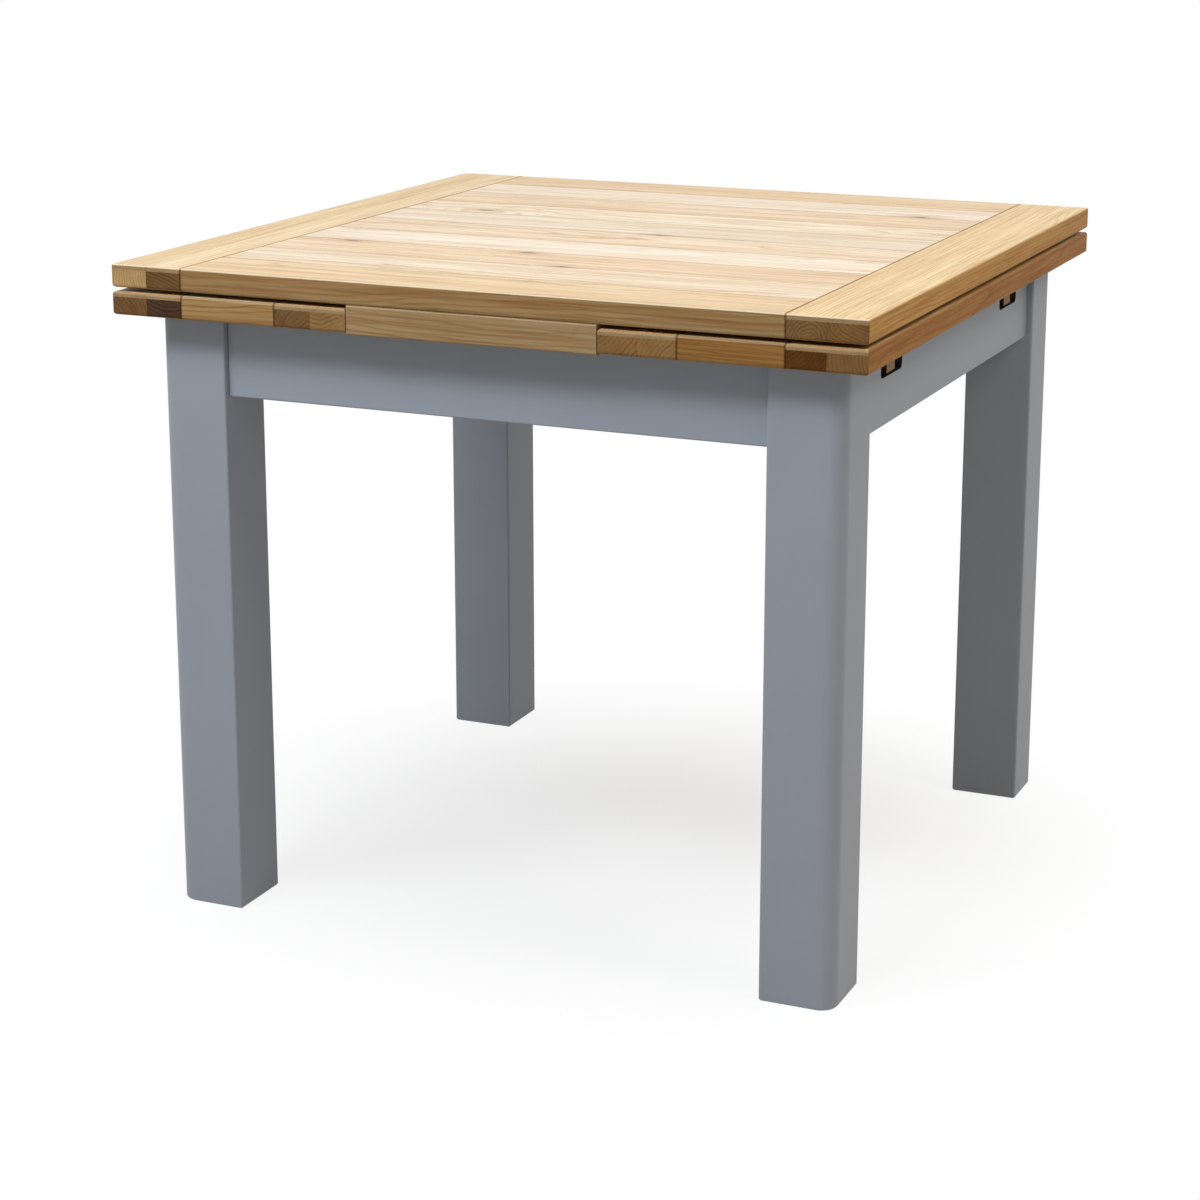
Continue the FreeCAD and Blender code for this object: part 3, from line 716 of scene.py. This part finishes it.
# Each end strip: its colour at the sawn ends, where its growth rings centre from its middle, its tint, and
# whether its upper layer runs over both strips of the end board
EndStrip = namedtuple("EndStrip", "end_core pith tint whole")
END_STRIPS = {
    "top_end_left_outer": EndStrip(srgb(188, 152, 100), (0.11, 0.01), OAK_DUN, False),
    "top_end_left_inner": EndStrip(srgb(118, 86, 50), (-0.03, -0.06), OAK_CREAM, False),
    "top_end_right_inner": EndStrip(srgb(132, 99, 60), (0.004, -0.021), OAK_HONEY, True),
    "top_end_right_outer": EndStrip(srgb(130, 94, 55), (0.026, 0.03), OAK_HONEY, True),
    "right_leaf_inner_strip_1": EndStrip(srgb(144, 106, 64), (-0.06, 0.055), OAK_PLAIN, True),
    "right_leaf_inner_strip_2": EndStrip(srgb(152, 114, 70), (0.045, -0.03), OAK_PLAIN, True),
    "right_leaf_outer_strip_1": EndStrip(srgb(96, 60, 26), (-0.045, 0.055), OAK_HONEY, True),
    "right_leaf_outer_strip_2": EndStrip(srgb(133, 98, 59), (0.08, 0.012), OAK_HONEY, True),
    "left_leaf_outer_strip_2": EndStrip(srgb(124, 90, 54), (-0.03, -0.045), OAK_PLAIN, True),
    "left_leaf_outer_strip_1": EndStrip(srgb(80, 58, 42), (0.01, 0.035), OAK_PLAIN, True),
    "left_leaf_inner_strip_2": EndStrip(srgb(124, 92, 56), (0.06, -0.05), OAK_PLAIN, True),
    "left_leaf_inner_strip_1": EndStrip(srgb(152, 115, 72), (-0.02, 0.07), OAK_PLAIN, True),
}

# Looks of the panels' planks and end strips
PLANK_LOOKS = {"tones": PLANK_TONES_AND_SHEEN, "streaked": True}
STRIP_LOOKS = {"seam": 0.15, "contrast": 0.0, "figure": 0.5}
TOP_PLANKS = {"coat": 0.3, "gloss": 0.12, "edge_glint": 1.0, "contrast": 0.08, "side": OAK_FRONT, "knots": TOP_KNOTS}
TOP_STRIPS = {"coat": 0.42, "gloss": 0.03, "edge_glint": 1.0, "side": OAK_ORANGE}
LEAF_PLANKS = {"coat": 0.12, "gloss": 0.14, "edge_glint": 0.2}
LEAF_STRIPS = {"coat": 0.08, "gloss": 0.02, "edge_glint": 0.2, "side": OAK_RUSSET}
END_BOARD_SEED = 50.0
SPLIT_STRIP_SEED = 7.0


def dress_panel(label, plank_names, left_pair, right_pair, seed, plank_looks, strip_looks):
    """Planks between two end boards of two strips each, given from left to right."""
    middle = middle_height(left_pair[0])
    layer = highest(left_pair[0]).z - FACE_LAYER
    butts = (highest(left_pair[1]).x, lowest(right_pair[0]).x)
    dress(oak("oak_%s_planks" % label, "X", (-HALF_TOP, PLANK), middle, seed, butts=butts,
              **PLANK_LOOKS, **plank_looks), *plank_names)
    for i, pair in enumerate((left_pair, right_pair)):
        end_board = (lowest(pair[0]).x, 2 * STRIP)
        for j, name in enumerate(pair):
            own = END_STRIPS[name]
            strip = (lowest(name).x, STRIP)
            face = end_board if own.whole else strip
            strip_seed = seed + END_BOARD_SEED * (i + 1) + (0.0 if own.whole else SPLIT_STRIP_SEED * j)
            dress(oak("oak_" + name, "Y", strip, middle, strip_seed, layer=layer, face=face, pith=own.pith,
                      end_core=own.end_core, tint=own.tint, butts=butts, **STRIP_LOOKS, **strip_looks), name)


dress_panel("top", ["top_plank_%02d" % (i + 1) for i in range(PLANK_COUNT)],
            ("top_end_left_outer", "top_end_left_inner"), ("top_end_right_inner", "top_end_right_outer"),
            seed=3.0, plank_looks=TOP_PLANKS, strip_looks=TOP_STRIPS)
dress_panel("right_leaf", ["right_leaf_planks"],
            ("right_leaf_inner_strip_1", "right_leaf_inner_strip_2"),
            ("right_leaf_outer_strip_1", "right_leaf_outer_strip_2"),
            seed=401.0, plank_looks={**LEAF_PLANKS, "side": OAK_AMBER}, strip_looks=LEAF_STRIPS)
dress_panel("left_leaf", ["left_leaf_planks"],
            ("left_leaf_outer_strip_2", "left_leaf_outer_strip_1"),
            ("left_leaf_inner_strip_2", "left_leaf_inner_strip_1"),
            seed=557.0, plank_looks={**LEAF_PLANKS, "side": OAK_STRAW}, strip_looks=LEAF_STRIPS)

# The other pieces of wood. The bearers get a painted shade towards their outer ends, where they lie in the
# notches, from and to these distances from the table's middle, in metres
CORNERS = ("front_left", "front_right", "rear_left", "rear_right")
BEARER_SHADE_REACH = (0.33, 0.38)
dress(oak("oak_centre_board", "X", (-HALF_TOP, PLANK), middle_height("centre_board"), seed=607.0,
          coat=0.3, tint=OAK_ASH), "centre_board")
dress(oak("oak_bearers", "X", (-HALF_TOP, BEARER_BOARD), middle_height("right_leaf_bearer_front"), seed=709.0,
          seam=0.0, coat=0.0, tint=OAK_TAN, gloss=0.1, bearer_shade=BEARER_SHADE_REACH),
      "left_leaf_bearer_front", "left_leaf_bearer_rear", "right_leaf_bearer_front", "right_leaf_bearer_rear",
      "left_leaf_stops", "right_leaf_stops", "bearer_guide_front", "bearer_guide_rear",
      "centre_cleat_front", "centre_cleat_rear", "locating_pegs")
dress(oak("hardwood_blocks", "X", (-HALF_TOP, BLOCK_BOARD), middle_height("corner_block_front_left"),
          seed=811.0, seam=0.0, coat=0.1),
      *["corner_block_" + corner for corner in CORNERS])

# Painted pieces, and plated ones
notch = (lowest("right_leaf_bearer_front").z - NOTCH_MARGIN, highest("apron_right").z - NOTCH_MARGIN)
dress(paint("paint_legs", "Z"), *["leg_" + corner for corner in CORNERS])
dress(paint("paint_front_rear", "X"), "apron_front", "apron_rear")
dress(paint("paint_sides", "Y", notch), "apron_left", "apron_right")
SCREWS = ("corner_block_screws", "cleat_screws", "guide_screws", "left_leaf_screws", "right_leaf_screws")
dress(zinc("zinc_plate"), "hanger_bolts", "bolt_washers", "bolt_nuts", *SCREWS)


# Fasteners and pegs, in metres and degrees: the solids have them with a few flats, and they are turned here
TURNED_SIDES = 32
SHARP_ANGLE = 35.0
SAME_PLACE_DIGITS = 6

# Screws: a pan head as rings of a height and a radius, its cross recess and the shank
HEAD_HEIGHT = 0.0028
HEAD_RINGS = [
    (0.0, 0.0044),
    (0.0002, 0.0045),
    (0.0011, 0.0045),
    (0.0018, 0.0042),
    (0.0023, 0.0036),
    (0.0026, 0.0028),
    (HEAD_HEIGHT, 0.0016),
]
RECESS_ARM = 0.0025
RECESS_WIDTH = 0.0009
RECESS_FLOOR = 0.001
RECESS_TAPER = 0.55
QUARTER_TURNS = ((1, 0), (0, 1), (-1, 0), (0, -1))
SHANK = 0.0021
SHANK_POINT = 0.0006
SHANK_TIP = 0.004
WIDE_SHARE = 0.9

# Hanger bolts, nuts, washers and pegs
BOLT_SHANK = 0.0036
THREAD = 0.00395
THREAD_DEPTH = 0.0006
THREAD_PITCH = 0.00125
THREAD_STEPS = 6
THREAD_LENGTH = 0.016
THREAD_END = 0.0031
NUT_SIDES = 48
NUT_HALF_FLATS = 0.0065
NUT_FACE = 0.0064
NUT_BEVEL = 0.0007
BORE = 0.0043
WASHER = 0.0088
WASHER_EASE = 0.0002
PEG = 0.0107
PEG_BEVEL = 0.002


def in_scene(name, data):
    made = bpy.data.objects.new(name, data)
    bpy.context.scene.collection.objects.link(made)
    return made


def mesh_object(name, points, faces):
    mesh = bpy.data.meshes.new(name)
    mesh.from_pydata(points, [], faces)
    return in_scene(name, mesh)


def ring_mesh(rings, closed=False, sides=TURNED_SIDES):
    """Points and faces of a form turned round Z, from rings of a height and a radius, which may be a function
    of the angle. A closed one joins its last ring to its first, and any other is capped."""
    angles = [2 * math.pi * i / sides for i in range(sides)]
    points = []
    for height, radius in rings:
        reach = [radius(a) if callable(radius) else radius for a in angles]
        points += [(r * math.cos(a), r * math.sin(a), height) for r, a in zip(reach, angles)]
    count = len(rings)
    faces = []
    for k in range(count if closed else count - 1):
        low = k * sides
        high = (k + 1) % count * sides
        for i in range(sides):
            after = (i + 1) % sides
            faces.append((low + i, low + after, high + after, high + i))
    if not closed:
        faces.append(tuple(reversed(range(sides))))
        faces.append(tuple(range((count - 1) * sides, count * sides)))
    return points, faces


def recess_mesh():
    """Points and faces of the cross that is cut into a head. It widens from its floor, has its full size at
    the top of the head, and goes on above it."""
    half = RECESS_WIDTH / 2
    arm = [(RECESS_ARM, -half), (RECESS_ARM, half), (half, half)]
    outline = [(x * cos - y * sin, x * sin + y * cos) for cos, sin in QUARTER_TURNS for x, y in arm]
    above = 2 * HEAD_HEIGHT - RECESS_FLOOR
    levels = ((RECESS_FLOOR, RECESS_TAPER), (above, 2.0 - RECESS_TAPER))
    points = [(x * size, y * size, z) for z, size in levels for x, y in outline]
    count = len(outline)
    faces = [(i, (i + 1) % count, count + (i + 1) % count, count + i) for i in range(count)]
    faces.append(tuple(reversed(range(count))))
    faces.append(tuple(range(count, 2 * count)))
    return points, faces


def crossed_head():
    """A pan head that sits at z = 0, with a tapered cross recess cut into it."""
    cutter = mesh_object("recess", *recess_mesh())
    head = mesh_object("head", *ring_mesh(HEAD_RINGS))
    cut = head.modifiers.new("recess", "BOOLEAN")
    cut.operation = "DIFFERENCE"
    cut.solver = "EXACT"
    cut.object = cutter
    mesh = bpy.data.meshes.new_from_object(head.evaluated_get(bpy.context.evaluated_depsgraph_get()))
    points = [tuple(v.co) for v in mesh.vertices]
    faces = [tuple(p.vertices) for p in mesh.polygons]
    for used in (head.data, cutter.data, mesh):
        bpy.data.meshes.remove(used)
    return points, faces


def joined(*shapes):
    points = []
    faces = []
    for more_points, more_faces in shapes:
        faces += [tuple(len(points) + i for i in face) for face in more_faces]
        points += more_points
    return points, faces


def solids_of(name):
    """The separate solids of a node, each as an array of its corners."""
    mesh = nodes[name].data
    places = np.array([v.co for v in mesh.vertices])
    corners, key = np.unique(np.round(places, SAME_PLACE_DIGITS), axis=0, return_inverse=True)
    key = key.ravel()
    group = np.arange(len(corners))
    edges = key[np.array([e.vertices[:] for e in mesh.edges])]
    while True:
        low = np.minimum(group[edges[:, 0]], group[edges[:, 1]])
        merged = group.copy()
        np.minimum.at(merged, edges[:, 0], low)
        np.minimum.at(merged, edges[:, 1], low)
        if (merged == group).all():
            return [corners[group == g] for g in np.unique(group)]
        group = merged


class Solid:
    """A turned solid's axis, found from its corners. flat is for one that is wider than it is long."""

    def __init__(self, corners, flat=False):
        self.corners = corners
        self.middle = (corners.min(0) + corners.max(0)) / 2
        # The directions of the corners' spread, from the most to the least
        spread = np.linalg.svd(corners - corners.mean(0))[2]
        self.axis = spread[2 if flat else 0]
        if self.axis @ self.middle > 0:
            self.axis = -self.axis
        self.measure()

    def measure(self):
        along = (self.corners - self.middle) @ self.axis
        self.low = along.min()
        self.high = along.max()
        self.length = self.high - self.low
        self.out = self.corners - self.middle - np.outer(along, self.axis)
        self.reach = np.linalg.norm(self.out, axis=1)
        self.upper_reach = self.reach[along > self.high - HEAD_HEIGHT / 2].max()

    def turn_over(self):
        self.axis = -self.axis
        self.measure()

    def place(self, shape, height):
        """A shape made round Z, laid on this axis with its z = 0 at a height on it."""
        first = self.out[self.reach.argmax()]
        first = first / np.linalg.norm(first)
        turn = np.array([first, np.cross(self.axis, first), self.axis])
        base = self.middle + self.axis * height
        points, faces = shape
        return [tuple(p) for p in np.array(points) @ turn + base], faces


def screw(head, corners):
    """A screw whose head is at the wide end of the solid."""
    solid = Solid(corners)
    if solid.upper_reach < solid.reach.max() * WIDE_SHARE:
        solid.turn_over()
    length = solid.length - HEAD_HEIGHT
    shank = ring_mesh([(-length, SHANK_POINT), (-length + SHANK_TIP, SHANK), (0.0, SHANK)])
    return solid.place(joined(head, shank), solid.high - HEAD_HEIGHT)


def thread_radius(turn, angle):
    """The radius of a thread at an angle, in a ring that lies a number of turns from its start."""
    phase = (turn - angle / (2 * math.pi)) % 1
    return THREAD - THREAD_DEPTH * abs(2 * phase - 1)


def hanger_bolt(corners):
    """A plain shank in the leg and a thread at the end that the nut is on."""
    solid = Solid(corners)
    start = solid.length - THREAD_LENGTH
    count = int(THREAD_LENGTH / THREAD_PITCH * THREAD_STEPS)
    rings = [(0.0, BOLT_SHANK), (start, BOLT_SHANK)]
    for i in range(1, count):
        turn = i / THREAD_STEPS
        rings.append((start + turn * THREAD_PITCH, partial(thread_radius, turn)))
    rings.append((solid.length, THREAD_END))
    return solid.place(ring_mesh(rings), solid.low)


def nut_outside(angle):
    """The radius of a hexagon at an angle."""
    side = math.pi / 3
    return NUT_HALF_FLATS / math.cos(angle % side - side / 2)


def nut_face(angle):
    return min(nut_outside(angle), NUT_FACE)


def nut(corners):
    """A hexagon nut, bevelled on both faces."""
    solid = Solid(corners, flat=True)
    tall = solid.length
    rings = [
        (0.0, nut_face),
        (NUT_BEVEL, nut_outside),
        (tall - NUT_BEVEL, nut_outside),
        (tall, nut_face),
        (tall, BORE),
        (tall - NUT_BEVEL, BOLT_SHANK),
        (NUT_BEVEL, BOLT_SHANK),
        (0.0, BORE),
    ]
    return solid.place(ring_mesh(rings, closed=True, sides=NUT_SIDES), solid.low)


def washer(corners):
    """A round washer with eased edges."""
    solid = Solid(corners, flat=True)
    tall = solid.length
    rings = [
        (0.0, WASHER - WASHER_EASE),
        (WASHER_EASE, WASHER),
        (tall - WASHER_EASE, WASHER),
        (tall, WASHER - WASHER_EASE),
        (tall, BORE),
        (0.0, BORE),
    ]
    return solid.place(ring_mesh(rings, closed=True), solid.low)


def peg(corners):
    """A turned peg with its lower end bevelled. Its axis is found pointing down, towards the floor."""
    solid = Solid(corners)
    rings = [(0.0, PEG), (solid.length - PEG_BEVEL, PEG), (solid.length, PEG - PEG_BEVEL)]
    return solid.place(ring_mesh(rings), solid.low)


def turned(node, make):
    """One finely turned piece for all the fasteners of a node."""
    piece = mesh_object("turned_" + node, *joined(*[make(corners) for corners in solids_of(node)]))
    piece.data.shade_smooth()
    piece.data.set_sharp_from_angle(angle=math.radians(SHARP_ANGLE))
    piece.data.materials.append(nodes[node].material_slots[0].material)
    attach(piece, body_of(nodes[node])[0])
    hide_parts(node)


make_screw = partial(screw, crossed_head())
for node in SCREWS:
    turned(node, make_screw)
turned("hanger_bolts", hanger_bolt)
turned("bolt_nuts", nut)
turned("bolt_washers", washer)
turned("locating_pegs", peg)


# Floor and world, in metres: what light meets, and what the eye sees. The floor's shadow fades with distance
WHITE = (1.0, 1.0, 1.0, 1.0)
FLOOR_REACH = 30.0
FLOOR_DEPTH = -0.0003
FLOOR_PALE = srgb(190, 190, 190)
FLOOR_SEEN = (0.42, 0.42, 0.42, 1.0)
FLOOR_GLOW = 0.62
SHADOW_FADE = (0.1, 0.75)
WORLD_LEVEL = 0.22
WORLD_WARM = (1.0, 0.96, 0.89, 1.0)
TABLE_MIDDLE = (0.0, 0.0, 0.6)


def pale_floor():
    """A pale floor that keeps the shadow, and can be looked through from below."""
    signs = ((-1, -1), (1, -1), (1, 1), (-1, 1))
    corners = [(x * FLOOR_REACH, y * FLOOR_REACH, FLOOR_DEPTH) for x, y in signs]
    floor = mesh_object("floor", corners, [(0, 1, 2, 3)])
    s = Shader(bpy.data.materials.new("floor_pale"))
    away = s.node("ShaderNodeVectorMath", {0: s.coordinates("Object")}, operation="LENGTH")
    distant = s.step(away.outputs["Value"], *SHADOW_FADE)
    lit = s.node("ShaderNodeBsdfDiffuse", {"Color": FLOOR_PALE})
    shaded = s.node("ShaderNodeBsdfDiffuse", {"Color": FLOOR_SEEN})
    glow = s.node("ShaderNodeEmission", {"Strength": FLOOR_GLOW})
    white = s.node("ShaderNodeEmission", {"Strength": 1.0})
    clear = s.node("ShaderNodeBsdfTransparent", {})
    from_below = s.node("ShaderNodeNewGeometry", {}).outputs["Backfacing"]
    near = s.node("ShaderNodeAddShader", {0: shaded.outputs[0], 1: glow.outputs[0]})
    looked_at = s.node("ShaderNodeMixShader", {0: distant, 1: near.outputs[0], 2: white.outputs[0]})
    upper = s.node("ShaderNodeMixShader", {0: s.seen(), 1: lit.outputs[0], 2: looked_at.outputs[0]})
    both = s.node("ShaderNodeMixShader", {0: from_below, 1: upper.outputs[0], 2: clear.outputs[0]})
    floor.data.materials.append(s.show(both))


def white_world():
    """A world that looks white, and lights the object softly and a little warm."""
    s = Shader(bpy.data.worlds.new("white_room"))
    seen = s.seen()
    level = s.node("ShaderNodeMapRange", {"Value": seen, "To Min": WORLD_LEVEL, "To Max": 1.0}).outputs[0]
    colour = s.mix(seen, WORLD_WARM, WHITE)
    background = s.node("ShaderNodeBackground", {"Color": colour, "Strength": level})
    bpy.context.scene.world = s.show(background, "ShaderNodeOutputWorld")


def lamp(name, place, width, height, watts, colour=(1.0, 1.0, 1.0)):
    """A soft rectangular lamp at a place, turned towards the table."""
    data = bpy.data.lights.new(name, "AREA")
    data.shape = "RECTANGLE"
    data.size = width
    data.size_y = height
    data.energy = watts
    data.color = colour
    made = in_scene(name, data)
    made.location = place
    x, y, z = (aim - own for aim, own in zip(TABLE_MIDDLE, place))
    made.rotation_euler = (math.atan2(math.hypot(x, y), -z), 0.0, math.atan2(-x, y))


pale_floor()
white_world()
lamp("overhead", place=(0.2, 0.6, 3.2), width=2.4, height=2.4, watts=38.0)
lamp("front_key", place=(-0.8, -2.1, 2.9), width=2.2, height=0.7, watts=61.0, colour=(0.91, 0.98, 1.09))
lamp("right_key", place=(2.7, -0.5, 3.2), width=1.2, height=1.2, watts=30.0, colour=(1.1, 1.0, 0.87))

camera_data = bpy.data.cameras.new("camera")
camera_data.sensor_width = SENSOR_WIDTH
camera_data.lens = FOCAL_LENGTH / PHOTO_WIDTH * SENSOR_WIDTH
camera_data.shift_y = CAMERA_SHIFT / PHOTO_WIDTH
camera = in_scene("camera", camera_data)
camera.location = CAMERA_PLACE
camera.rotation_euler = (math.radians(90.0 - CAMERA_PITCH), 0.0, math.radians(CAMERA_YAW))
bpy.context.scene.camera = camera
bpy.context.scene.view_settings.view_transform = "Standard"
